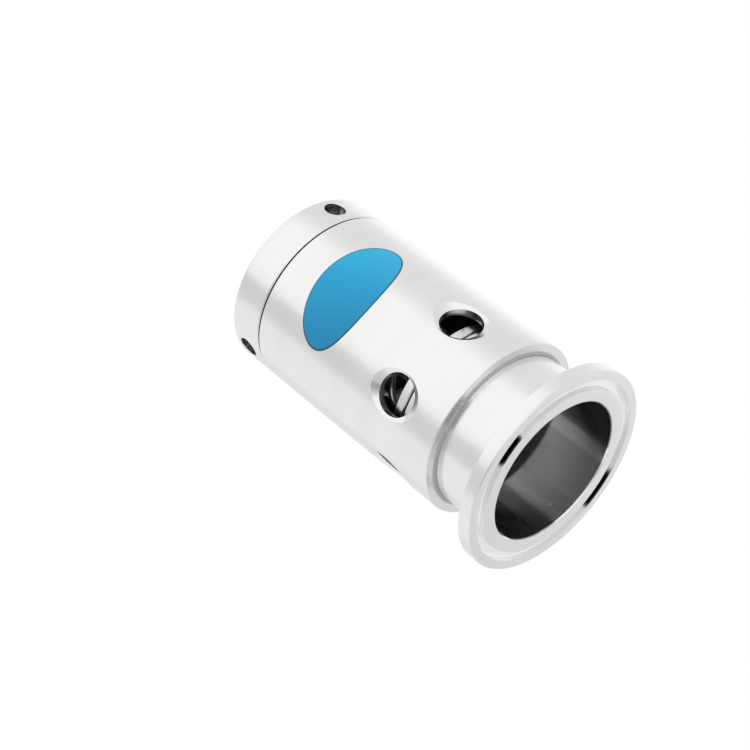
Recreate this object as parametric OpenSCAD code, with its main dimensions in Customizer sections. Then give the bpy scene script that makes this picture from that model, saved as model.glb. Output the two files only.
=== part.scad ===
// Pressure vacuum valve with a clamp ferrule at its lower end and a screwed cap on top.
// The origin is the centre of the ferrule's face, and +Z runs along the axis to the cap.
// A bearing is an angle around the axis in degrees, from -Y towards +X. Lengths are millimetres.

/* [Ferrule] */
// Outer diameter of the clamp flange
flange_d = 50.5; // [48:0.5:54]
// Height of the flange's straight rim
rim_h = 3.1; // [2.4:0.05:4]
// Slope of the flange's back, in degrees
flange_slope = 20; // [15:1:25]
// Fillet between the flange and the neck
neck_fillet = 1.2; // [0.4:0.1:2.5]
// Outer diameter of the ferrule's tube
tube_d = 38.1; // [37.6:0.1:38.3]
// Wall of the ferrule's tube
tube_wall = 1.65; // [1.2:0.05:2]
// Mean diameter of the flange's gasket groove
groove_d = 43.5; // [42.8:0.1:45]
// Width of the gasket groove
groove_w = 2.3; // [1.6:0.1:3]
// Depth of the gasket groove
groove_depth = 1.4; // [0.8:0.1:1.8]
// Round in the corners of the groove's bottom
groove_round = 0.35; // [0.1:0.05:0.7]

/* [Body] */
// Outer diameter of the body
body_d = 43.6; // [42.6:0.2:50]
// Bore of the body
body_bore_d = 38.5; // [38.3:0.1:39]
// Height of the body's lower end above the ferrule's face
neck_h = 16.6; // [12:0.1:30]
// Fillet of the weld between the body's lower face and the ferrule's tube
weld_fillet = 0.3; // [0.2:0.1:1.5]
// Length of the body
body_h = 56.8; // [55:0.1:75]
// Length of the ferrule's tube that is held in the body
collar_h = 3.9; // [3:0.1:6]

/* [Vents] */
// Number of vent holes
vent_n = 6; // [3:1:7]
// Diameter of each vent hole
vent_d = 9.8; // [6:0.1:10.6]
// Height of the vents' centres above the seat
vent_up = 1.5; // [1.2:0.1:6]
// Diameter of each countersink, measured along the body
vent_mouth_d = 13.6; // [11:0.1:15]
// Included angle of each countersink
vent_cone = 120; // [90:5:130]
// Bearing of the first vent
vent_bearing = 37.5; // [0:0.5:59.5]

/* [Cap] */
// Height of the cap above its seal
cap_h = 9; // [8.4:0.1:14]
// Round on the cap's top edge
cap_round = 0.7; // [0.2:0.1:1.4]
// Length of the threaded spigot below the body's top
spigot_h = 5; // [4:0.5:6.5]
// Inner diameter of the spigot
spigot_bore_d = 32; // [28:0.5:34]
// Pitch of the cap's thread
thread_pitch = 1.5; // [1:0.25:2.5]
// Depth of the cap's thread
thread_depth = 0.45; // [0.2:0.05:0.8]
// Thickness of the seal under the cap
cap_seal_h = 0.4; // [0.2:0.1:1]
// Number of spanner holes in the cap's rim
spanner_n = 3; // [2:1:4]
// Diameter of each spanner hole
spanner_d = 5.1; // [3:0.1:5.2]
// Depth of each spanner hole
spanner_depth = 3.6; // [2:0.1:4.6]
// Height of the spanner holes above the body's top
spanner_up = 5; // [4:0.1:5.8]
// Bearing of the first spanner hole
spanner_bearing = 50; // [0:1:119]

/* [Label] */
// Width of the label around the body
label_w = 31.2; // [16:0.2:44]
// Height of the label along the body
label_h = 15.7; // [8:0.1:20]
// Thickness of the label
label_t = 0.1; // [0.06:0.01:0.3]
// Height of the label's centre above the body's lower end
label_up = 40; // [30:0.1:46]
// Bearing of the label's centre
label_bearing = 9.2; // [-30:0.1:30]
// Tilt of the label against the body's cross-section, in degrees
label_tilt = 1.8; // [-10:0.1:10]

/* [Seat] */
// Height of the seat ring
seat_h = 9.05; // [8.4:0.05:11]
// Outer diameter of the seat ring's nose
nose_d = 35.8; // [35.2:0.1:36.1]
// Bore through the seat ring
seat_bore_d = 31.4; // [30.4:0.1:31.8]
// Height of the seat ring's flange
seat_flange_h = 3.4; // [3:0.1:3.7]
// Thickness of the rubber of the seal around the seat ring
seat_seal_w = 1.1; // [0.9:0.05:1.3]
// Thickness of the snap ring over the seat ring
seat_clip_h = 0.9; // [0.6:0.1:1.1]

/* [Pressure pallet] */
// Height of the pallet's disc
pallet_h = 3; // [2.6:0.1:5]
// Thickness of the pallet's gasket
gasket_h = 1.5; // [1.1:0.1:1.8]
// Height that the gasket stands proud of the pallet's lip
gasket_proud = 0.4; // [0.2:0.1:0.7]
// Inner diameter of the gasket
gasket_id = 28.2; // [28:0.1:28.8]
// Thickness of the plate that holds the gasket
retainer_h = 1.5; // [1.3:0.1:2.2]
// Inner diameter of that plate
retainer_id = 20.6; // [20:0.1:20.9]
// Number of screws in that plate
screw_n = 6; // [4:1:8]
// Diameter of the screws' shanks
screw_d = 2.2; // [1.8:0.1:2.3]
// Diameter of the circle that the screws stand on
screw_circle_d = 25.1; // [22.6:0.1:28]
// Diameter of the pallet's hub
hub_d = 10.1; // [9.8:0.1:10.4]
// Height of the hub above the pallet's disc
hub_h = 7.3; // [5:0.1:9]
// Number of vacuum ports through the pallet
port_n = 6; // [4:1:8]
// Diameter of each vacuum port
port_d = 3.2; // [2:0.1:3.4]
// Lift of the pallet when it is fully open
pressure_travel = 6; // [3:0.5:7]

/* [Vacuum poppet] */
// Thickness of the poppet
poppet_h = 2.1; // [1.5:0.1:3]
// Thickness of the poppet's gasket
poppet_gasket_h = 0.8; // [0.5:0.1:1.4]
// Diameter of the stem
stem_d = 6; // [5.4:0.1:6.2]
// Diameter of the stem's threaded end
stem_end_d = 4; // [3.4:0.1:4.8]
// Width across the flats of the nut under the poppet
nut_af = 7; // [6.5:0.5:8]
// Height of the nut under the poppet
nut_h = 2.2; // [1.5:0.1:3.5]
// Drop of the poppet when it is fully open
vacuum_travel = 4.5; // [2:0.5:4.5]

/* [Springs] */
// Mean diameter of the main spring
main_spring_d = 19.1; // [18.9:0.1:19.6]
// Thickness of the main spring's wire
main_wire_d = 1.8; // [1.2:0.1:1.8]
// Turns in the main spring
main_turns = 5.5; // [5:0.25:9.5]
// Bearing of the main spring's lower end
main_spring_bearing = -30; // [-180:1:180]
// Mean diameter of the vacuum spring
small_spring_d = 8; // [7.9:0.1:8.3]
// Thickness of the vacuum spring's wire
small_wire_d = 0.7; // [0.5:0.05:0.75]
// Turns in the vacuum spring
small_turns = 7; // [5:0.25:7.5]
// Length of the vacuum spring when the poppet is shut
small_spring_h = 10.4; // [9.5:0.1:11]

/* [Spring plate] */
// Thickness of the spring plate
plate_h = 3; // [2.4:0.1:4.5]
// Height of the plate's boss
boss_h = 3; // [1.5:0.1:3.5]
// Thickness of the snap ring over the plate
plate_clip_h = 1.1; // [0.8:0.1:1.2]

/* [Hidden] */
$fn = 96;

// Clearances: parts held still, parts that slide, a snap ring in its groove, and parts that pass
still_gap = 0.02;
slide_gap = 0.05;
groove_gap = 0.1;
pass_gap = 0.5;
// Small chamfer on turned edges, and the extra reach of a cutter past a face
edge = 0.25;
over = 1;

tube_r = tube_d / 2;
tube_bore_r = tube_r - tube_wall;
body_r = body_d / 2;
bore_r = body_bore_d / 2;
tube_top = neck_h + collar_h;
body_top = neck_h + body_h;
weld_land = 0.1;

// Screws of the gasket's plate, and the space that the plate, gasket and seat leave around them
screw_r = screw_d / 2;
screw_head_w = 0.9;
screw_head_r = screw_r + screw_head_w;
screw_circle_r = screw_circle_d / 2;
screw_land = 0.25;
screw_reach = screw_circle_r + screw_head_r + screw_land;

// Seat ring, and the snap ring over it, which clears the nose and reaches into the body
seat_z = tube_top + seat_h;
seat_flange_top = tube_top + seat_flange_h;
nose_r = nose_d / 2;
seat_r = max(seat_bore_d / 2, screw_reach + pass_gap);
seat_seal_r = bore_r - slide_gap - seat_seal_w / 2;
seal_groove_fit = 1.4;
seat_clip_clear = 0.2;
seat_clip_grip = 0.7;
seat_clip_in = nose_r + seat_clip_clear;
seat_clip_out = bore_r + seat_clip_grip;
vent_z = seat_z + vent_up;

// Pressure pallet, with its underside at the seat's height
lip_w = 0.55;
lip_z = seat_z + gasket_proud;
pallet_top = seat_z + pallet_h;
gasket_r = nose_r - lip_w;
gasket_in = max(gasket_id / 2, screw_circle_r + screw_r + screw_land);
retainer_r = seat_r - pass_gap;
retainer_in = min(retainer_id / 2, screw_circle_r - screw_head_r - screw_land);
retainer_z = seat_z - retainer_h;
hub_r = hub_d / 2;
hub_top = pallet_top + hub_h;
stem_r = stem_d / 2;
port_wall = 0.25;
port_circle_r = hub_r + port_wall + port_d / 2;

// Countersinks of those screws, and the depth that they end below the pallet's top
screw_cone_h = 1.05;
screw_cover = 0.8;
screw_top = pallet_top - screw_cover;
screw_turn = 15;

// Bush in the pallet's hub
bush_wall = 1;
bush_up = 1.5;
bush_flange_h = 0.8;
bush_flange_step = 0.15;
pallet_bush_r = stem_r + slide_gap + bush_wall;
pallet_bush_z = seat_z + bush_up;
bush_flange_r = hub_r - bush_flange_step;

// Vacuum poppet, hanging from the stem under the pallet
poppet_r = retainer_in - pass_gap;
poppet_top = seat_z - poppet_gasket_h;
poppet_z = poppet_top - poppet_h;
stem_end_r = stem_end_d / 2;
washer_h = 0.8;
washer_margin = 0.6;
washer_r = nut_af / 2 + washer_margin;
nut_z = poppet_z - washer_h - nut_h;
stem_tail = 0.8;
stem_z = nut_z - stem_tail;

// Spring plate, held down by a snap ring that stays clear of the cap's spigot
plate_clip_clear = 3;
plate_clip_top = body_top - spigot_h - plate_clip_clear;
plate_top = plate_clip_top - plate_clip_h;
plate_z = plate_top - plate_h;
boss_top = plate_top + boss_h;
guide_flange_h = 0.9;
guide_top = boss_top + guide_flange_h;
guide_wall = 1.8;
guide_bush_r = stem_r + slide_gap + guide_wall;
boss_wall = 2.2;
boss_r = guide_bush_r + boss_wall;
plate_clip_reach = 1.6;
plate_clip_grip = 0.8;
plate_clip_in = bore_r - plate_clip_reach;
plate_clip_out = bore_r + plate_clip_grip;
ear_r = 1.4;

// Springs, each between its two seats
main_spring_r = main_spring_d / 2;
locator_clear = 0.3;
main_locator_r = main_spring_r + main_wire_d / 2 + locator_clear;
locator_w = 1.1;
locator_h = 1.05;
small_spring_z = hub_top + bush_flange_h;
small_spring_top = small_spring_z + small_spring_h;
spring_washer_h = 0.8;
spring_washer_margin = 0.6;
spring_washer_r = small_spring_d / 2 + small_wire_d / 2 + spring_washer_margin;
stem_clip_h = 0.8;
stem_clip_z = small_spring_top + spring_washer_h;
stem_clip_depth = 0.4;
stem_clip_in = stem_r - stem_clip_depth;

// The stem stays in its guide with the poppet open, and clears the cap with the pallet lifted
stem_reserve = 0.3;
stem_top = guide_top + vacuum_travel + stem_reserve;
cap_z = body_top + cap_seal_h;
cap_top = cap_z + cap_h;
cap_headroom = 0.8;
cap_ceiling = stem_top + pressure_travel + cap_headroom;
spigot_gap = 0.08;
spigot_r = bore_r - spigot_gap;
spigot_z = body_top - spigot_h;
spigot_in = spigot_bore_d / 2;
thread_margin = 1.5;
thread_n = floor((spigot_h - thread_margin) / thread_pitch);

vent_r = vent_d / 2;
vent_cone_h = (vent_mouth_d - vent_d) / 2 / tan(vent_cone / 2);

// Points along an arc, with its centre, radius and first and last angle
function arc(x, y, r, from, to, n = 8) =
    [for (i = [0:n]) let(a = from + (to - from) * i / n) [x + r * cos(a), y + r * sin(a)]];

// A ring with a square section
module ring(inner_r, outer_r, z, h) {
    rotate_extrude() translate([inner_r, z]) square([outer_r - inner_r, h]);
}

// Stands a shape on the axis so that its own z runs outward along a bearing
module radial(bearing, z) {
    translate([0, 0, z]) rotate([0, 0, bearing]) rotate([90, 0, 0]) children();
}

// Copies of a shape that stands at radius r, evenly spaced around the axis
module around(n, r, first = 0) {
    for (i = [0:n - 1]) rotate([0, 0, first + 360 * i / n]) translate([0, -r, 0]) children();
}

// Height of a spring's wire after t turns: one closed turn, the open turns, one closed turn
function coil_rise(t, turns, closed, open) =
    t < 1 ? closed * t
    : t < turns - 1 ? closed + open * (t - 1)
    : closed + open * (turns - 2) + closed * (t - turns + 1);

// A compression spring of round wire between two heights, from a bearing
module coil(mean_r, wire_d, z, top, turns, bearing = 0, sides = 8, steps = 24) {
    closed = wire_d * 1.04;
    open = (top - z - wire_d - 2 * closed) / (turns - 2);
    last = round(turns * steps);
    points = [for (i = [0:last], k = [0:sides - 1])
        let(t = turns * i / last, a = 360 * t, b = 360 * k / sides, r = mean_r + wire_d / 2 * cos(b))
        [r * sin(a), -r * cos(a),
         z + wire_d / 2 + coil_rise(t, turns, closed, open) + wire_d / 2 * sin(b)]];
    start_cap = [[for (k = [0:sides - 1]) k]];
    end_cap = [[for (k = [sides - 1:-1:0]) last * sides + k]];
    skin = [for (i = [0:last - 1], k = [0:sides - 1])
        let(j = (k + 1) % sides) [i * sides + k, (i + 1) * sides + k, (i + 1) * sides + j, i * sides + j]];
    rotate([0, 0, bearing])
        polyhedron(points = points, faces = concat(start_cap, skin, end_cap), convexity = 10);
}

// Ferrule: flange with a sloped back, gasket groove, and the tube that enters the body
module clamp_ferrule() {
    flange_r = flange_d / 2;
    mouth = 0.3;
    groove_corner = min(groove_round, groove_w / 2 - edge, groove_depth - edge);
    reach = tube_r + neck_fillet - flange_r;
    fillet_z = rim_h + (neck_fillet - reach * sin(flange_slope)) / cos(flange_slope);
    color("gainsboro") difference() {
        rotate_extrude() polygon(concat(
            [[tube_bore_r + mouth, 0], [flange_r - edge, 0], [flange_r, edge], [flange_r, rim_h]],
            arc(tube_r + neck_fillet, fillet_z, neck_fillet, 270 - flange_slope, 180),
            [[tube_r, tube_top], [tube_bore_r, tube_top], [tube_bore_r, mouth]]));
        rotate_extrude() translate([groove_d / 2, 0]) polygon(concat(
            [[-groove_w / 2, -over], [groove_w / 2, -over]],
            arc(groove_w / 2 - groove_corner, groove_depth - groove_corner, groove_corner, 0, 90),
            arc(groove_corner - groove_w / 2, groove_depth - groove_corner, groove_corner, 90, 180)));
    }
}

// Body: turned tube with a collar for the ferrule, vents, and grooves for the two snap rings
module valve_body() {
    collar_r = tube_r + still_gap;
    weld_r = collar_r + weld_land;
    shoulder_z = neck_h + weld_fillet;
    color("gainsboro") difference() {
        rotate_extrude() polygon(concat(
            [[collar_r, neck_h]],
            arc(weld_r + weld_fillet, neck_h, weld_fillet, 180, 90),
            [[body_r - edge, shoulder_z], [body_r, shoulder_z + edge],
             [body_r, body_top - edge], [body_r - edge, body_top], [bore_r, body_top],
             [bore_r, tube_top], [collar_r, tube_top]]));
        ring(bore_r - over, seat_clip_out + groove_gap, seat_flange_top, seat_clip_h + groove_gap);
        ring(bore_r - over, plate_clip_out + groove_gap, plate_top, plate_clip_h + groove_gap);
        for (i = [0:vent_n - 1]) radial(vent_bearing + 360 * i / vent_n, vent_z) vent_cutter();
    }
}

// Shape of one vent: a hole with a countersunk mouth, from inside the bore to past the surface
module vent_cutter() {
    cone_z = body_r - vent_cone_h;
    mouth_r = vent_r + (vent_cone_h + over) * tan(vent_cone / 2);
    start = bore_r * cos(asin(vent_r / bore_r)) - over;
    rotate_extrude() polygon([
        [0, start], [vent_r, start], [vent_r, cone_z], [mouth_r, body_r + over], [0, body_r + over]]);
}

// Oval label, wrapped around the body
module side_label() {
    points = 72;
    rim = [for (i = [0:points - 1])
        let(a = 360 * i / points, x = label_w / 2 * cos(a), y = label_h / 2 * sin(a),
            s = x * cos(label_tilt) - y * sin(label_tilt))
        [body_r * sin(s / body_r * 180 / PI), x * sin(label_tilt) + y * cos(label_tilt)]];
    color("steelblue") intersection() {
        ring(body_r, body_r + label_t, neck_h, body_h);
        radial(label_bearing, neck_h + label_up) linear_extrude(body_r + over) polygon(rim);
    }
}

// Seat ring: flange in the body's bore, and a nose with the raised seat on top
module seat_ring() {
    flange_r = bore_r - slide_gap;
    seal_z = tube_top + seat_flange_h / 2;
    groove_h = seat_seal_w * seal_groove_fit;
    color("silver") difference() {
        rotate_extrude() polygon([
            [seat_r, tube_top], [flange_r, tube_top], [flange_r, seat_flange_top],
            [nose_r, seat_flange_top], [nose_r, seat_z - edge], [nose_r - edge, seat_z],
            [seat_r + edge, seat_z], [seat_r, seat_z - edge]]);
        ring(seat_seal_r - seat_seal_w / 2 - still_gap, bore_r, seal_z - groove_h / 2, groove_h);
    }
}

// Round seal in the seat ring's groove
module seat_ring_seal() {
    color("black") rotate_extrude()
        translate([seat_seal_r, tube_top + seat_flange_h / 2]) circle(seat_seal_w / 2, $fn = 24);
}

// Snap ring that holds the seat ring down
module seat_snap_ring() {
    slot_w = 7;
    color("dimgray") difference() {
        ring(seat_clip_in, seat_clip_out, seat_flange_top, seat_clip_h);
        translate([-slot_w / 2, 0, seat_flange_top - over]) cube([slot_w, body_r, seat_clip_h + 2 * over]);
    }
}

// Spring plate: fits the bore, locates the main spring below and carries the guide bush
module spring_plate() {
    plate_r = bore_r - slide_gap;
    color("silver") difference() {
        union() {
            rotate_extrude() polygon([
                [0, plate_z], [plate_r - edge, plate_z], [plate_r, plate_z + edge], [plate_r, plate_top],
                [boss_r, plate_top], [boss_r, boss_top - edge], [boss_r - edge, boss_top], [0, boss_top]]);
            ring(main_locator_r, main_locator_r + locator_w, plate_z - locator_h, locator_h + plate_h / 2);
        }
        translate([0, 0, plate_z - over])
            cylinder(r = guide_bush_r + still_gap, h = plate_h + boss_h + 2 * over);
    }
}

// Bush that guides the stem in the spring plate
module guide_bush() {
    flange_step = 0.5;
    color("ivory") difference() {
        rotate_extrude() polygon([
            [0, plate_z], [guide_bush_r, plate_z], [guide_bush_r, boss_top],
            [boss_r - flange_step, boss_top], [boss_r - flange_step, guide_top], [0, guide_top]]);
        translate([0, 0, plate_z - over])
            cylinder(r = stem_r + slide_gap, h = guide_top - plate_z + 2 * over);
    }
}

// Snap ring with two ears, over the spring plate
module plate_snap_ring() {
    ear_bearing = 13;
    ear_at = plate_clip_in + ear_r * 0.4;
    slot_w = 2 * plate_clip_out * sin(ear_bearing) - 2 * ear_r;
    color("dimgray") difference() {
        union() {
            difference() {
                ring(plate_clip_in, plate_clip_out, plate_top, plate_clip_h);
                translate([-slot_w / 2, 0, plate_top - over])
                    cube([slot_w, body_r, plate_clip_h + 2 * over]);
            }
            for (side = [-1, 1]) rotate([0, 0, 180 + side * ear_bearing])
                translate([0, -ear_at, plate_top]) cylinder(r = ear_r, h = plate_clip_h, $fn = 32);
        }
        for (side = [-1, 1]) rotate([0, 0, 180 + side * ear_bearing])
            translate([0, -ear_at, plate_top - over])
                cylinder(r = ear_r / 2, h = plate_clip_h + 2 * over, $fn = 24);
    }
}

// Flat seal between the cap and the body
module cap_seal() {
    inset = 0.5;
    color("black") ring(bore_r + groove_gap, body_r - inset, body_top, cap_seal_h);
}

// Cap: hollow head with spanner holes, over a spigot with a ring-cut thread form
module valve_cap() {
    lead = 0.6;
    thread = [for (i = [0:thread_n - 1], step = [0, 1, 2])
        let(z = spigot_z + lead + thread_pitch * (i + step * 0.4))
        [step == 1 ? spigot_r - thread_depth : spigot_r, z]];
    color("gainsboro") difference() {
        rotate_extrude() polygon(concat(
            [[spigot_in, spigot_z], [spigot_r - edge, spigot_z], [spigot_r, spigot_z + edge]],
            thread,
            [[spigot_r, cap_z], [body_r - edge, cap_z], [body_r, cap_z + edge]],
            arc(body_r - cap_round, cap_top - cap_round, cap_round, 0, 90),
            [[0, cap_top], [0, cap_ceiling], [spigot_in, cap_ceiling]]));
        for (i = [0:spanner_n - 1]) radial(spanner_bearing + 360 * i / spanner_n, body_top + spanner_up)
            translate([0, 0, body_r - spanner_depth]) cylinder(r = spanner_d / 2, h = spanner_depth + over);
    }
}

// Pressure pallet: disc with a gasket recess, vacuum ports, a spring locator and a hub
module pressure_pallet() {
    land_r = gasket_in - still_gap;
    lip_in = gasket_r + still_gap;
    recess_top = seat_z + gasket_h;
    top_edge = 2 * edge;
    locator_out = main_locator_r + locator_w;
    color("silver") difference() {
        rotate_extrude() polygon([
            [0, seat_z], [land_r, seat_z], [land_r, recess_top], [lip_in, recess_top], [lip_in, lip_z],
            [nose_r - edge, lip_z], [nose_r, lip_z + edge], [nose_r, pallet_top - top_edge],
            [nose_r - top_edge, pallet_top], [locator_out, pallet_top],
            [locator_out, pallet_top + locator_h], [main_locator_r, pallet_top + locator_h],
            [main_locator_r, pallet_top], [hub_r, pallet_top], [hub_r, hub_top], [0, hub_top]]);
        translate([0, 0, seat_z - over]) cylinder(r = stem_r + 2 * slide_gap, h = hub_top);
        translate([0, 0, pallet_bush_z]) cylinder(r = pallet_bush_r + still_gap, h = hub_top);
        around(port_n, port_circle_r)
            translate([0, 0, seat_z - over]) cylinder(r = port_d / 2, h = pallet_h + 2 * over);
        around(screw_n, screw_circle_r, screw_turn) translate([0, 0, seat_z - over])
            cylinder(r = screw_r + still_gap, h = screw_top + groove_gap - seat_z + over);
    }
}

// Soft gasket in the pallet's recess
module pallet_gasket() {
    color("black") ring(gasket_in, gasket_r, seat_z, gasket_h - still_gap);
}

// Plate that clamps the gasket's inner edge
module gasket_retainer() {
    color("silver") difference() {
        rotate_extrude() polygon([
            [retainer_in, retainer_z], [retainer_r - edge, retainer_z], [retainer_r, retainer_z + edge],
            [retainer_r, seat_z], [retainer_in, seat_z]]);
        around(screw_n, screw_circle_r, screw_turn) translate([0, 0, retainer_z]) {
            translate([0, 0, -over]) cylinder(r = screw_r + still_gap, h = retainer_h + 2 * over);
            cylinder(r1 = screw_head_r + still_gap, r2 = screw_r + still_gap, h = screw_cone_h);
        }
    }
}

// Countersunk screws through the retainer
module retainer_screws() {
    key_r = 0.85;
    key_depth = 0.8;
    color("lightgray") around(screw_n, screw_circle_r, screw_turn) difference() {
        rotate_extrude($fn = 48) polygon([
            [0, retainer_z], [screw_head_r, retainer_z], [screw_r, retainer_z + screw_cone_h],
            [screw_r, screw_top - edge], [screw_r - edge, screw_top], [0, screw_top]]);
        translate([0, 0, retainer_z - over]) cylinder(r = key_r, h = over + key_depth, $fn = 6);
    }
}

// Flanged bush in the pallet's hub
module pallet_bush() {
    color("ivory") difference() {
        rotate_extrude() polygon([
            [0, pallet_bush_z], [pallet_bush_r, pallet_bush_z], [pallet_bush_r, hub_top],
            [bush_flange_r, hub_top], [bush_flange_r, hub_top + bush_flange_h],
            [0, hub_top + bush_flange_h]]);
        translate([0, 0, pallet_bush_z - over]) cylinder(r = stem_r + slide_gap, h = hub_top);
    }
}

// Spring that holds the pallet on the seat
module main_spring() {
    color("silver")
        coil(main_spring_r, main_wire_d, pallet_top, plate_z, main_turns, main_spring_bearing);
}

// Stem through the pallet and the guide, with a threaded lower end and a groove for its clip
module vacuum_stem() {
    lead = 0.5;
    clip_groove_top = stem_clip_z + stem_clip_h + still_gap;
    color("silver") rotate_extrude() polygon([
        [0, stem_z], [stem_end_r - edge, stem_z], [stem_end_r, stem_z + edge], [stem_end_r, seat_z],
        [stem_r, seat_z], [stem_r, stem_clip_z], [stem_clip_in, stem_clip_z],
        [stem_clip_in, clip_groove_top], [stem_r, clip_groove_top],
        [stem_r, stem_top - lead], [stem_r - lead, stem_top], [0, stem_top]]);
}

// Poppet that shuts the vacuum ports from below
module vacuum_poppet() {
    low_edge = 3 * edge;
    color("silver") difference() {
        rotate_extrude() polygon([
            [0, poppet_z], [poppet_r - low_edge, poppet_z], [poppet_r, poppet_z + low_edge],
            [poppet_r, poppet_top], [0, poppet_top]]);
        translate([0, 0, poppet_z - over]) cylinder(r = stem_end_r + still_gap, h = poppet_h + 2 * over);
    }
}

// Soft gasket on the poppet
module vacuum_gasket() {
    inset = 0.2;
    color("black") ring(stem_end_r + still_gap, poppet_r - inset, poppet_top, poppet_gasket_h);
}

// Washer under the poppet
module poppet_washer() {
    color("lightgray") difference() {
        translate([0, 0, poppet_z - washer_h]) cylinder(r = washer_r, h = washer_h);
        translate([0, 0, poppet_z - washer_h - over])
            cylinder(r = stem_end_r + still_gap, h = washer_h + 2 * over);
    }
}

// Hexagon nut that clamps the poppet on the stem
module poppet_nut() {
    color("lightgray") difference() {
        translate([0, 0, nut_z]) cylinder(r = nut_af / 2 / cos(30), h = nut_h, $fn = 6);
        translate([0, 0, nut_z - over]) cylinder(r = stem_end_r + still_gap, h = nut_h + 2 * over);
    }
}

// Washer on top of the vacuum spring
module spring_washer() {
    color("lightgray") difference() {
        translate([0, 0, small_spring_top]) cylinder(r = spring_washer_r, h = spring_washer_h);
        translate([0, 0, small_spring_top - over])
            cylinder(r = stem_r + still_gap, h = spring_washer_h + 2 * over);
    }
}

// Clip in the stem's groove, over that washer
module stem_clip() {
    slot_w = 2 * stem_clip_in * 0.8;
    inset = 0.5;
    color("dimgray") difference() {
        ring(stem_clip_in + still_gap, spring_washer_r - inset, stem_clip_z, stem_clip_h);
        translate([-slot_w / 2, 0, stem_clip_z - over]) cube([slot_w, body_r / 2, stem_clip_h + 2 * over]);
    }
}

// Spring that holds the poppet shut
module vacuum_spring() {
    color("silver") coil(small_spring_d / 2, small_wire_d, small_spring_z, small_spring_top, small_turns);
}

clamp_ferrule();
valve_body();
side_label();
seat_ring();
seat_ring_seal();
seat_snap_ring();
spring_plate();
guide_bush();
plate_snap_ring();
cap_seal();
valve_cap();
pressure_pallet();
pallet_gasket();
gasket_retainer();
retainer_screws();
pallet_bush();
main_spring();
vacuum_stem();
vacuum_poppet();
vacuum_gasket();
poppet_washer();
poppet_nut();
spring_washer();
stem_clip();
vacuum_spring();
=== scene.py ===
"""Pressure vacuum valve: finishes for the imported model, its label and its two springs.

The part stands on its ferrule with +Z along its axis. A bearing is an angle around the axis,
from -Y towards +X. Lengths in this file are millimetres until mm() turns them into metres.
"""
import math

import bpy
from mathutils import Matrix, Vector


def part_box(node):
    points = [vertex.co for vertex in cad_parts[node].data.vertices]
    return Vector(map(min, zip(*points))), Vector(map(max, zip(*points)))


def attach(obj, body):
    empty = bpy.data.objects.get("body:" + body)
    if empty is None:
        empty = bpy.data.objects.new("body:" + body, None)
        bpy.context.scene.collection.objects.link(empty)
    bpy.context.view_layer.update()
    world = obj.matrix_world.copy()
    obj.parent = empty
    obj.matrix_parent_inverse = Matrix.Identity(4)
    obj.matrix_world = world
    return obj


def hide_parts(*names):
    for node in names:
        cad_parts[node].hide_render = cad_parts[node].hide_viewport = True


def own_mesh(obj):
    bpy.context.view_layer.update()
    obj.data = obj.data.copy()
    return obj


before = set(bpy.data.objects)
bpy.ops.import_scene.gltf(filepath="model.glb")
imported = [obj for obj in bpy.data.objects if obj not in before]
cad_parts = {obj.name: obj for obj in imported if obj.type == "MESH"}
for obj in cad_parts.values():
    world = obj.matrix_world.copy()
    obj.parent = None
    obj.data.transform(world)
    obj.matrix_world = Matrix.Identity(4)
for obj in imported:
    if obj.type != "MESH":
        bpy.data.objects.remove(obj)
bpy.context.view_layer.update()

# Camera: its place, its tilt up from the horizon, its roll, its lens and its sensor
CAMERA_AT = (-7.47, -357.61, -181.0)
CAMERA_TILT = 32.97
CAMERA_ROLL = -51.76
CAMERA_LENS = 90.02
CAMERA_SENSOR = 36

# Middle of the valve's height, and the height of the weld between the ferrule's tube and the body
MIDDLE_Z = 41
WELD_Z = 16.6

# Body, and the oval label on it
BODY_R = 21.8
LABEL_W, LABEL_H, LABEL_T = 31.2, 15.7, 0.1
LABEL_Z, LABEL_BEARING, LABEL_TILT = 56.6, 9.2, 1.8

# Springs: mean radius, wire, turns, and the bearing of the lower end
MAIN_SPRING = dict(mean_r=9.55, wire=1.8, turns=5.5, bearing=-30)
VACUUM_SPRING = dict(mean_r=4.0, wire=0.7, turns=7, bearing=0)

# Colours of the steel: turned outside, machined inside, the body's inside darkened as painted shade of the
# closed chamber, and the bore
BRIGHT, MACHINED = (0.77, 0.77, 0.765), (0.74, 0.74, 0.735)
PAINTED_CHAMBER_SHADE, BORE = (0.24, 0.24, 0.235), (0.92, 0.92, 0.91)
# Painted shade that makes the bore nearly black above the weld, and painted dark reflections in the gasket
# groove
PAINTED_BORE_SHADE, PAINTED_GROOVE_REFLECTION = (0.06, 0.057, 0.055), (0.035, 0.034, 0.033)
# Height of the turning marks, and the noise scales along X, Y and Z of scratches and of streaks
RING_DEPTH = 0.006
SCRATCH_SCALE, STREAK_SCALE = (120, 1200, 3500), (260, 260, 18)

# Inner surfaces: those within a radius and below a height, as (radius, height, colour, roughness)
# The inside of the body and of the cap is steel darkened as painted shade of the closed chamber; its
# roughness is the real unpolished finish
BODY_INSIDE = (19.4, 80, PAINTED_CHAMBER_SHADE, 0.42)
CAP_INSIDE = (19.3, 80, PAINTED_CHAMBER_SHADE, 0.42)
FERRULE_BORE = (17.5, 80, BORE, 0.24)
# Painted reflections along the bore, as dark bands and one light band: (bearing, half width, soft width,
# share of the bore's colour)
PAINTED_BORE_REFLECTIONS = (
    (114, 16, 16, 0.25),
    (-122, 16, 12, 0.22),
    (-143, 5, 5, 0.42),
    (168, 12, 8, 0.72),
    (146, 3, 5, 1.08),
)
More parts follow.
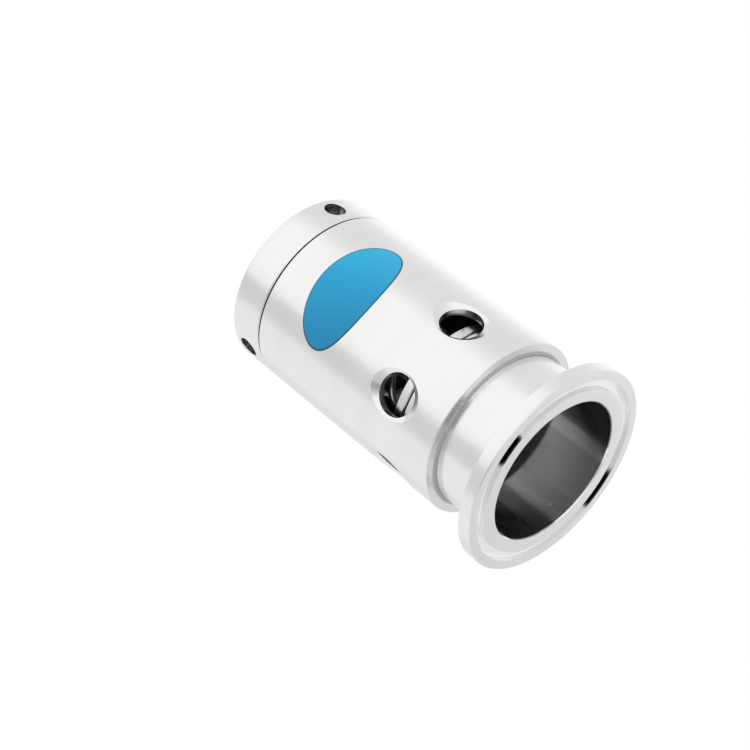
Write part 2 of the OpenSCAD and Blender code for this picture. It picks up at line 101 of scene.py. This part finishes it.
# Zones with a finish of their own. Marks are painted dark reflections in the groove, as (bearing, half width,
# soft width, lowest height)
GROOVE = dict(inner_r=18, outer_r=24, low=0.03, high=1.5, colour=(0.89, 0.89, 0.885), rough=0.24,
              painted_reflections=((-7.5, 7, 5, 0.35), (172, 8, 5, 0.35)))
WELD = dict(inner_r=18.5, outer_r=19.8, low=WELD_Z - 0.1, high=WELD_Z + 0.35,
            colour=(0.64, 0.64, 0.635), rough=0.6, painted_reflections=())

# Studio: soft grey flags around the part, as (bearing, inner half width, outer half width, depth)
STUDIO_LEVEL = 1.20
FLAGS = {
    "left_side": (-105, 55, 85, 0.13),
    "left_front": (-55, 5, 22, 0.22),
    "left_rear": (-158, 14, 32, 0.15),
    "right_side": (92, 8, 48, 0.21),
    "right_rear": (152, 12, 38, 0.06),
}
# Flags below the part only. They fade out between two sines of the angle above the horizon
LOW_FLAGS = {
    "camera_side": (-50, 25, 60, 0.22),
    "rear": (180, 20, 60, 0.14),
}
LOW_FLAG_TOP = (-0.45, -0.25)
# A dark spot below the part, on the camera's side, and its soft edges in degrees above the horizon
DARK_SPOT = (-17, 19, 24, 0.95)
DARK_SPOT_RISES = (-36, -32, -24, -20)
# Share of the studio's light that matt surfaces don't get
MATT_LOSS = 0.28


def mm(*values):
    """Millimetres to metres: one number, or a vector of three."""
    if len(values) == 1:
        return values[0] / 1000
    return Vector(values) / 1000


def place_camera():
    """Camera at the photograph's viewing angle."""
    data = bpy.data.cameras.new("camera")
    data.lens = CAMERA_LENS
    data.sensor_width = CAMERA_SENSOR
    data.clip_start = 0.01
    camera = bpy.data.objects.new("camera", data)
    bpy.context.scene.collection.objects.link(camera)
    tilt = Matrix.Rotation(math.radians(90 + CAMERA_TILT), 4, "X")
    roll = Matrix.Rotation(math.radians(CAMERA_ROLL), 4, "Z")
    camera.matrix_world = Matrix.Translation(mm(*CAMERA_AT)) @ tilt @ roll
    bpy.context.scene.camera = camera


def empty_tree(owner):
    """The node tree of a material or world, without its default nodes."""
    owner.use_nodes = True
    owner.node_tree.nodes.clear()
    return owner.node_tree


def add(tree, kind, inputs=None, **settings):
    """A shader node. Each input is a value or the socket that feeds it."""
    made = tree.nodes.new(kind)
    for name, value in settings.items():
        setattr(made, name, value)
    for name, value in (inputs or {}).items():
        if isinstance(value, bpy.types.NodeSocket):
            tree.links.new(value, made.inputs[name])
        else:
            made.inputs[name].default_value = value
    return made


def calc(tree, operation, *values):
    """The result of a Math node."""
    return add(tree, "ShaderNodeMath", dict(enumerate(values)), operation=operation).outputs[0]


def vector_calc(tree, operation, *values):
    """The Vector Math node for an operation."""
    return add(tree, "ShaderNodeVectorMath", dict(enumerate(values)), operation=operation)


def fade(tree, value, start, end, low=0.0, high=1.0):
    """Value mapped smoothly from start..end to low..high."""
    inputs = {"Value": value, "From Min": start, "From Max": end, "To Min": low, "To Max": high}
    return add(tree, "ShaderNodeMapRange", inputs, interpolation_type="SMOOTHSTEP").outputs[0]


def fade_by_angle(tree, cosine, inner, outer):
    """1 within the inner angle and 0 past the outer one, in degrees, from an angle's cosine."""
    return fade(tree, cosine, math.cos(math.radians(outer)), math.cos(math.radians(inner)))


def blend_colours(tree, factor, first, second):
    """A colour between two others. The factor is a socket, and each colour a value or a socket."""
    made = tree.nodes.new("ShaderNodeMix")
    made.data_type = "RGBA"
    tree.links.new(factor, made.inputs[0])
    for socket, value in ((made.inputs[6], first), (made.inputs[7], second)):
        if isinstance(value, bpy.types.NodeSocket):
            tree.links.new(value, socket)
        else:
            socket.default_value = (*value, 1)
    return made.outputs[2]


def noise(tree, vector, scale, detail=2.0, roughness=0.5):
    """A value from 0 to 1 that varies through space."""
    inputs = {"Vector": vector, "Scale": scale, "Detail": detail, "Roughness": roughness}
    return add(tree, "ShaderNodeTexNoise", inputs).outputs[0]


def roughen(tree, shader, height, strength, depth):
    """A bump on the surface, whose depth is in mm."""
    bump = add(tree, "ShaderNodeBump", {"Strength": strength, "Distance": mm(depth), "Height": height})
    tree.links.new(bump.outputs[0], shader.inputs["Normal"])


def round_coordinates(tree):
    """The surface point, with its radius, height and bearing about the part's axis (metres, radians)."""
    point = add(tree, "ShaderNodeTexCoord").outputs["Object"]
    parts = add(tree, "ShaderNodeSeparateXYZ", {0: point})
    x, y, z = parts.outputs
    radius = calc(tree, "SQRT", calc(tree, "ADD", calc(tree, "MULTIPLY", x, x), calc(tree, "MULTIPLY", y, y)))
    bearing = calc(tree, "ARCTAN2", x, calc(tree, "MULTIPLY", y, -1.0))
    return point, radius, z, bearing


def near_bearing(tree, bearing, middle, half, soft):
    """1 within half degrees of the middle bearing, and 0 past the soft width beyond."""
    turn = calc(tree, "COSINE", calc(tree, "SUBTRACT", bearing, math.radians(middle)))
    return fade_by_angle(tree, turn, half, half + soft)


def new_material(name):
    """A material with a Principled shader, its tree and that shader."""
    material = bpy.data.materials.new(name)
    tree = empty_tree(material)
    shader = tree.nodes.new("ShaderNodeBsdfPrincipled")
    output = tree.nodes.new("ShaderNodeOutputMaterial")
    tree.links.new(shader.outputs[0], output.inputs[0])
    return material, tree, shader


def inside_streaks_and_painted_shade(tree, point, z, bearing, colour, painted_stripes):
    """Colour of an inner surface: soft streaks along the axis, painted reflections as stripes, and painted
    shade above the weld.
    """
    streaks = noise(tree, vector_calc(tree, "MULTIPLY", point, STREAK_SCALE).outputs[0], 1.0, 2.0)
    streaks_and_painted_shade = blend_colours(tree, fade(tree, streaks, 0.3, 0.7), [c * 0.7 for c in colour], colour)
    # Painted reflections: dark and light bands at given bearings along the bore
    for middle, half, soft, share in painted_stripes:
        cover = near_bearing(tree, bearing, middle, half, soft)
        streaks_and_painted_shade = blend_colours(tree, cover, streaks_and_painted_shade, [c * share for c in colour])
    # Painted shade: above the weld the bore turns nearly black
    if painted_stripes:
        painted_weld_shade = fade(tree, z, mm(WELD_Z - 1.1), mm(WELD_Z - 0.1), 0.0, 0.95)
        streaks_and_painted_shade = blend_colours(tree, painted_weld_shade, streaks_and_painted_shade, PAINTED_BORE_SHADE)
    return streaks_and_painted_shade


def in_zone(tree, radius, z, zone):
    """1 between a zone's radii and heights, else 0."""
    inside = 1.0
    for value, low, high in ((radius, "inner_r", "outer_r"), (z, "low", "high")):
        inside = calc(tree, "MULTIPLY", inside, calc(tree, "GREATER_THAN", value, mm(zone[low])))
        inside = calc(tree, "MULTIPLY", inside, calc(tree, "LESS_THAN", value, mm(zone[high])))
    return inside


def turned_steel(name, colour, rough, line, inner=None, painted_stripes=(), zone=None):
    """Turned stainless steel: fine rings around the axis, faint stains and hairline scratches.

    line is the spacing of the rings in mm. inner is one of the inner surfaces at the top of this
    file, with its stripes as painted reflections on it, and zone is one of the zones there, whose marks are
    painted dark reflections.
    """
    material, tree, shader = new_material(name)
    point, radius, z, bearing = round_coordinates(tree)
    around = calc(tree, "MULTIPLY", bearing, 0.0015)
    rings_at = add(tree, "ShaderNodeCombineXYZ", {0: radius, 1: z, 2: around}).outputs[0]
    rings = noise(tree, rings_at, 1000 / line, 3.0, 0.6)
    bands = noise(tree, rings_at, 1000 / (12 * line), 2.0)
    stains = noise(tree, point, 60.0, 3.0, 0.6)
    scratches = noise(tree, vector_calc(tree, "MULTIPLY", point, SCRATCH_SCALE).outputs[0], 1.0, 2.0)
    scratches = fade(tree, scratches, 0.66, 0.74)

    shade = calc(tree, "ADD", calc(tree, "MULTIPLY", bands, 0.5), calc(tree, "MULTIPLY", stains, 0.5))
    base = blend_colours(tree, fade(tree, shade, 0.3, 0.7), [c * 0.955 for c in colour], colour)
    level = calc(tree, "MULTIPLY_ADD", rings, 0.10, rough - 0.05)
    level = calc(tree, "MULTIPLY_ADD", stains, 0.05, calc(tree, "SUBTRACT", level, 0.025))
    level = calc(tree, "MULTIPLY_ADD", scratches, 0.06, level)
    if inner:
        inner_r, inner_top, inner_colour, inner_rough = inner
        inside = fade(tree, radius, mm(inner_r), mm(inner_r + 0.2), 1.0, 0.0)
        inside = calc(tree, "MULTIPLY", inside, calc(tree, "LESS_THAN", z, mm(inner_top)))
        streaks_and_painted_shade = inside_streaks_and_painted_shade(tree, point, z, bearing, inner_colour, painted_stripes)
        base = blend_colours(tree, inside, base, streaks_and_painted_shade)
        level = calc(tree, "MULTIPLY_ADD", inside, inner_rough - rough, level)
    if zone:
        inside = in_zone(tree, radius, z, zone)
        base = blend_colours(tree, inside, base, zone["colour"])
        # Painted dark reflections at given bearings within the zone
        for middle, half, soft, lowest in zone["painted_reflections"]:
            cover = calc(tree, "MULTIPLY", near_bearing(tree, bearing, middle, half, soft), inside)
            cover = calc(tree, "MULTIPLY", cover, calc(tree, "GREATER_THAN", z, mm(lowest)))
            base = blend_colours(tree, cover, base, PAINTED_GROOVE_REFLECTION)
        level = calc(tree, "MULTIPLY_ADD", inside, zone["rough"] - rough, level)
    tree.links.new(base, shader.inputs["Base Color"])
    tree.links.new(level, shader.inputs["Roughness"])
    shader.inputs["Metallic"].default_value = 1.0
    shader.inputs["Anisotropic"].default_value = 0.45
    shader.inputs["Anisotropic Rotation"].default_value = 0.25
    lay = add(tree, "ShaderNodeTangent", direction_type="RADIAL", axis="Z")
    tree.links.new(lay.outputs[0], shader.inputs["Tangent"])
    roughen(tree, shader, rings, 0.35, RING_DEPTH)
    return material


def wire_steel(name, colour, rough):
    """Drawn spring wire: a fine mottle and small die lines."""
    material, tree, shader = new_material(name)
    point = add(tree, "ShaderNodeTexCoord").outputs["Object"]
    mottle = noise(tree, point, 1200.0, 3.0, 0.6)
    base = blend_colours(tree, fade(tree, mottle, 0.3, 0.7), [c * 0.88 for c in colour], colour)
    tree.links.new(base, shader.inputs["Base Color"])
    tree.links.new(calc(tree, "MULTIPLY_ADD", mottle, 0.14, rough - 0.07), shader.inputs["Roughness"])
    shader.inputs["Metallic"].default_value = 1.0
    roughen(tree, shader, mottle, 0.3, 0.01)
    return material


def rubber(name, colour, rough):
    """Moulded rubber: matt, with a fine grain and a trace of dust."""
    material, tree, shader = new_material(name)
    point = add(tree, "ShaderNodeTexCoord").outputs["Object"]
    grain = noise(tree, point, 3500.0, 3.0, 0.6)
    dust = noise(tree, point, 220.0, 3.0, 0.6)
    base = blend_colours(tree, fade(tree, dust, 0.4, 0.75), colour, [c + 0.012 for c in colour])
    tree.links.new(base, shader.inputs["Base Color"])
    tree.links.new(calc(tree, "MULTIPLY_ADD", grain, 0.16, rough - 0.08), shader.inputs["Roughness"])
    roughen(tree, shader, grain, 0.3, 0.02)
    return material


def slippery_plastic(name, colour, rough):
    """Bearing plastic: milky, with turning marks."""
    material, tree, shader = new_material(name)
    point, radius, z, _ = round_coordinates(tree)
    rings_at = add(tree, "ShaderNodeCombineXYZ", {0: radius, 1: z, 2: 0.0}).outputs[0]
    rings = noise(tree, rings_at, 6500.0, 2.0)
    cloud = noise(tree, point, 400.0, 2.0)
    base = blend_colours(tree, cloud, [c * 0.94 for c in colour], colour)
    tree.links.new(base, shader.inputs["Base Color"])
    tree.links.new(calc(tree, "MULTIPLY_ADD", rings, 0.12, rough - 0.06), shader.inputs["Roughness"])
    shader.inputs["Subsurface Weight"].default_value = 0.15
    shader.inputs["Subsurface Scale"].default_value = mm(0.5)
    roughen(tree, shader, rings, 0.3, 0.01)
    return material


def printed_label(name):
    """Blue printed film: deeper towards one side, with a thin dark outline and a faint coat."""
    light_blue, deep_blue, outline = (0.012, 0.435, 0.74), (0.004, 0.27, 0.555), (0.02, 0.10, 0.16)
    speckle = (0.10, 0.52, 0.80)
    tilt = math.radians(LABEL_TILT)
    material, tree, shader = new_material(name)
    point, _, z, bearing = round_coordinates(tree)
    along = calc(tree, "MULTIPLY", calc(tree, "SUBTRACT", bearing, math.radians(LABEL_BEARING)), mm(BODY_R))
    above = calc(tree, "SUBTRACT", z, mm(LABEL_Z))
    across = calc(tree, "MULTIPLY_ADD", along, math.cos(tilt), calc(tree, "MULTIPLY", above, math.sin(tilt)))
    up = calc(tree, "MULTIPLY_ADD", above, math.cos(tilt), calc(tree, "MULTIPLY", along, -math.sin(tilt)))
    across = calc(tree, "DIVIDE", across, mm(LABEL_W / 2))
    up = calc(tree, "DIVIDE", up, mm(LABEL_H / 2))
    squares = calc(tree, "ADD", calc(tree, "MULTIPLY", across, across), calc(tree, "MULTIPLY", up, up))
    out = calc(tree, "SQRT", squares)
    slope = calc(tree, "MULTIPLY_ADD", up, 0.35, calc(tree, "MULTIPLY", across, 0.65))
    grain = noise(tree, point, 5600.0, 2.0)
    ink = blend_colours(tree, fade(tree, slope, -1.0, 0.9), deep_blue, light_blue)
    ink = blend_colours(tree, calc(tree, "MULTIPLY", grain, 0.10), ink, speckle)
    ink = blend_colours(tree, fade(tree, out, 0.958, 0.975), ink, outline)
    tree.links.new(ink, shader.inputs["Base Color"])
    tree.links.new(calc(tree, "MULTIPLY_ADD", grain, 0.08, 0.28), shader.inputs["Roughness"])
    shader.inputs["Specular IOR Level"].default_value = 0.25
    shader.inputs["Coat Weight"].default_value = 0.1
    shader.inputs["Coat Roughness"].default_value = 0.12
    roughen(tree, shader, noise(tree, point, 160.0, 2.0), 0.15, 0.06)
    return material


def finish_mesh(name, points, faces, material):
    """A smooth mesh object with one material."""
    mesh = bpy.data.meshes.new(name)
    mesh.from_pydata(points, [], faces)
    mesh.materials.append(material)
    mesh.shade_smooth()
    made = bpy.data.objects.new(name, mesh)
    bpy.context.scene.collection.objects.link(made)
    return made


def coil_height(turn, turns, closed, pitch):
    """Height of the wire's centre after so many turns: one closed turn, open turns, one closed turn."""
    if turn < 1:
        return closed * turn
    if turn < turns - 1:
        return closed + pitch * (turn - 1)
    return closed + pitch * (turns - 2) + closed * (turn - turns + 1)


def make_spring(name, low, high, mean_r, wire, turns, bearing, material):
    """A round-wire compression spring with closed ends that are ground flat."""
    sides, steps = 16, 64
    wire_r, closed = wire / 2, wire * 1.04
    pitch = (high - low - wire - 2 * closed) / (turns - 2)
    rings = int(turns * steps)
    points = []
    for i in range(rings + 1):
        turn = turns * i / rings
        angle = math.radians(bearing - 90) + 2 * math.pi * turn
        centre = low + wire_r + coil_height(turn, turns, closed, pitch)
        for k in range(sides):
            side = 2 * math.pi * k / sides
            r = mean_r + wire_r * math.cos(side)
            z = min(max(centre + wire_r * math.sin(side), low), high)
            points.append(mm(r * math.cos(angle), r * math.sin(angle), z))
    faces = []
    for i in range(rings):
        for k in range(sides):
            a, b = i * sides + k, i * sides + (k + 1) % sides
            faces.append((a, a + sides, b + sides, b))
    faces.append(tuple(range(sides)))
    faces.append(tuple(rings * sides + k for k in reversed(range(sides))))
    return finish_mesh(name, points, faces, material)


def make_label(material):
    """Oval film wrapped around the body, with a soft rolled edge down to the steel."""
    spokes, rings = 144, 18
    edge_start, least_lift = 0.985, 0.01
    tilt = math.radians(LABEL_TILT)

    def point(out, spoke, lift):
        """A point at a share of the oval's size, on one of its spokes, lifted off the body."""
        angle = 2 * math.pi * spoke / spokes
        x, y = LABEL_W / 2 * out * math.cos(angle), LABEL_H / 2 * out * math.sin(angle)
        turn = math.radians(LABEL_BEARING) + (x * math.cos(tilt) - y * math.sin(tilt)) / BODY_R
        r = BODY_R + lift
        return mm(r * math.sin(turn), -r * math.cos(turn), LABEL_Z + x * math.sin(tilt) + y * math.cos(tilt))

    profile = [(edge_start * i / rings, LABEL_T) for i in range(1, rings + 1)]
    for bend in (math.radians(30), math.radians(60), math.radians(90)):
        profile.append((edge_start + (1 - edge_start) * math.sin(bend), LABEL_T * math.cos(bend)))
    points, faces = [point(0, 0, LABEL_T)], []
    for out, lift in profile:
        points += [point(out, spoke, max(lift, least_lift)) for spoke in range(spokes)]
    for spoke in range(spokes):
        after = (spoke + 1) % spokes
        faces.append((0, 1 + spoke, 1 + after))
        for ring in range(len(profile) - 1):
            a, b = 1 + ring * spokes + spoke, 1 + ring * spokes + after
            faces.append((a, a + spokes, b + spokes, b))
    return finish_mesh("label_film", points, faces, material)


def light_studio():
    """White background, soft grey flags for the steel to reflect, two soft lamps and a one-sided floor."""
    world = bpy.data.worlds.new("studio")
    bpy.context.scene.world = world
    tree = empty_tree(world)
    direction = add(tree, "ShaderNodeTexCoord").outputs["Generated"]
    x, y, rise = add(tree, "ShaderNodeSeparateXYZ", {0: direction}).outputs
    level_part = add(tree, "ShaderNodeCombineXYZ", {0: x, 1: y, 2: 0.0}).outputs[0]
    heading = vector_calc(tree, "NORMALIZE", level_part).outputs[0]

    def flag(bearing, inner, outer, depth, amount=1.0):
        """What is left of the light behind a flag with soft sides."""
        middle = (math.sin(math.radians(bearing)), -math.cos(math.radians(bearing)), 0)
        towards = vector_calc(tree, "DOT_PRODUCT", heading, middle).outputs["Value"]
        cover = calc(tree, "MULTIPLY", fade_by_angle(tree, towards, inner, outer), amount)
        return calc(tree, "MULTIPLY_ADD", cover, -depth, 1.0)

    below = fade(tree, rise, *LOW_FLAG_TOP, 1.0, 0.0)
    light = STUDIO_LEVEL
    for values in FLAGS.values():
        light = calc(tree, "MULTIPLY", light, flag(*values))
    for values in LOW_FLAGS.values():
        light = calc(tree, "MULTIPLY", light, flag(*values, amount=below))
    edges = [math.sin(math.radians(angle)) for angle in DARK_SPOT_RISES]
    spot = calc(tree, "MULTIPLY", fade(tree, rise, *edges[:2]), fade(tree, rise, *edges[2:], 1.0, 0.0))
    light = calc(tree, "MULTIPLY", light, flag(*DARK_SPOT, amount=spot))

    path = add(tree, "ShaderNodeLightPath")
    matt_share = calc(tree, "MULTIPLY_ADD", path.outputs["Is Diffuse Ray"], -MATT_LOSS, 1.0)
    light = calc(tree, "MULTIPLY", light, matt_share)
    light = calc(tree, "MULTIPLY", light, calc(tree, "SUBTRACT", 1.0, path.outputs["Is Camera Ray"]))
    strength = calc(tree, "ADD", light, path.outputs["Is Camera Ray"])
    background = add(tree, "ShaderNodeBackground", {"Color": (1, 1, 1, 1), "Strength": strength})
    add(tree, "ShaderNodeOutputWorld", {"Surface": background.outputs[0]})

    add_lamp("key_lamp", at=(520, -220, 420), size=360, power=1.1)
    add_lamp("top_lamp", at=(-110, 75, 850), size=440, power=1.2)
    make_floor()


def add_lamp(name, at, size, power):
    """A square soft lamp that faces the middle of the part. Steel reflects the studio in its place."""
    data = bpy.data.lights.new(name, "AREA")
    data.size = mm(size)
    data.energy = power
    lamp = bpy.data.objects.new(name, data)
    bpy.context.scene.collection.objects.link(lamp)
    lamp.location = mm(*at)
    lamp.rotation_euler = (mm(0, 0, MIDDLE_Z) - lamp.location).to_track_quat("-Z", "Y").to_euler()
    lamp.visible_glossy = False


def make_floor():
    """Pale floor under the ferrule. It is clear from below, where the photograph's camera stands.

    It thins out far from the part, and sooner in reflections, which show none of it in the mouth.
    """
    size, drop = 3000, 0.3
    corners = [mm(x, y, -drop) for x, y in ((-size, -size), (size, -size), (size, size), (-size, size))]
    material = bpy.data.materials.new("floor_paper")
    tree = empty_tree(material)
    path = add(tree, "ShaderNodeLightPath")
    behind = add(tree, "ShaderNodeNewGeometry").outputs["Backfacing"]
    passed = calc(tree, "GREATER_THAN", path.outputs["Transparent Depth"], 0.5)
    clear = calc(tree, "MAXIMUM", calc(tree, "MAXIMUM", behind, passed), path.outputs["Is Shadow Ray"])
    point = add(tree, "ShaderNodeTexCoord").outputs["Object"]
    far = vector_calc(tree, "LENGTH", point).outputs["Value"]
    clear = calc(tree, "MAXIMUM", clear, fade(tree, far, mm(150), mm(500)))
    outside = fade(tree, far, mm(25), mm(110), 0.35, 1.0)
    in_mouth = fade(tree, far, mm(17), mm(18), 1.0, 0.0)
    faint = calc(tree, "MULTIPLY", path.outputs["Is Glossy Ray"], calc(tree, "MAXIMUM", outside, in_mouth))
    clear = calc(tree, "MAXIMUM", clear, faint)
    tooth = noise(tree, point, 900.0, 2.0)
    colour = blend_colours(tree, tooth, (0.87, 0.87, 0.87), (0.89, 0.89, 0.89))
    paper = add(tree, "ShaderNodeBsdfDiffuse", {"Color": colour})
    gone = add(tree, "ShaderNodeBsdfTransparent")
    mixed = add(tree, "ShaderNodeMixShader", {0: clear, 1: paper.outputs[0], 2: gone.outputs[0]})
    add(tree, "ShaderNodeOutputMaterial", {"Surface": mixed.outputs[0]})
    floor = finish_mesh("floor", corners, [(0, 1, 2, 3)], material)


def dress_nodes():
    """Gives every CAD node its finish. Returns the finishes that the new pieces need too."""
    finishes = {
        "body_steel": turned_steel("body_steel", BRIGHT, 0.20, line=0.28, inner=BODY_INSIDE, zone=WELD),
        "ferrule_steel": turned_steel("ferrule_steel", BRIGHT, 0.20, line=0.2, inner=FERRULE_BORE,
                                      painted_stripes=PAINTED_BORE_REFLECTIONS, zone=GROOVE),
        "low_steel": turned_steel("low_steel", (0.90, 0.90, 0.895), 0.42, line=0.25),
        "cap_steel": turned_steel("cap_steel", BRIGHT, 0.19, line=0.28, inner=CAP_INSIDE),
        "inner_steel": turned_steel("inner_steel", MACHINED, 0.30, line=0.25),
        "stem_steel": turned_steel("stem_steel", (0.72, 0.72, 0.715), 0.16, line=0.15),
        "fastener_steel": turned_steel("fastener_steel", (0.58, 0.575, 0.57), 0.24, line=0.15),
        "clip_steel": turned_steel("clip_steel", (0.30, 0.295, 0.29), 0.36, line=0.4),
        "spring_wire": wire_steel("spring_wire", (0.88, 0.875, 0.87), 0.34),
        "black_rubber": rubber("black_rubber", (0.012, 0.012, 0.013), 0.62),
        "bush_plastic": slippery_plastic("bush_plastic", (0.80, 0.79, 0.76), 0.42),
        "label_print": printed_label("label_print"),
    }
    worn_by = {
        "body_steel": ["valve_body"],
        "ferrule_steel": ["clamp_ferrule"],
        "cap_steel": ["valve_cap"],
        "inner_steel": ["seat_ring", "spring_plate", "pressure_pallet"],
        "low_steel": ["gasket_retainer", "vacuum_poppet"],
        "stem_steel": ["vacuum_stem"],
        "fastener_steel": ["retainer_screws", "poppet_washer", "poppet_nut", "spring_washer"],
        "clip_steel": ["seat_snap_ring", "plate_snap_ring", "stem_clip"],
        "spring_wire": ["main_spring", "vacuum_spring"],
        "black_rubber": ["seat_ring_seal", "cap_seal", "pallet_gasket", "vacuum_gasket"],
        "bush_plastic": ["guide_bush", "pallet_bush"],
        "label_print": ["side_label"],
    }
    for finish, nodes in worn_by.items():
        for name in nodes:
            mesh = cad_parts[name].data
            mesh.materials.clear()
            mesh.materials.append(finishes[finish])
    return finishes


def add_pieces(finishes):
    """The label film and the two springs, which take the place of plainer solids."""
    label = make_label(finishes["label_print"])
    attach(label, "valve")
    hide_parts("side_label")

    wire = finishes["spring_wire"]
    low, high = (corner.z * 1000 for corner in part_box("main_spring"))
    spring = make_spring("main_coil", low, high, material=wire, **MAIN_SPRING)
    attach(spring, "valve")
    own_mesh(spring)
    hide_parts("main_spring")

    low, high = (corner.z * 1000 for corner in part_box("vacuum_spring"))
    small = make_spring("vacuum_coil", low, high, material=wire, **VACUUM_SPRING)
    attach(small, "pressure_group")
    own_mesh(small)
    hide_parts("vacuum_spring")


bpy.context.scene.view_settings.view_transform = "Standard"
place_camera()
light_studio()
add_pieces(dress_nodes())
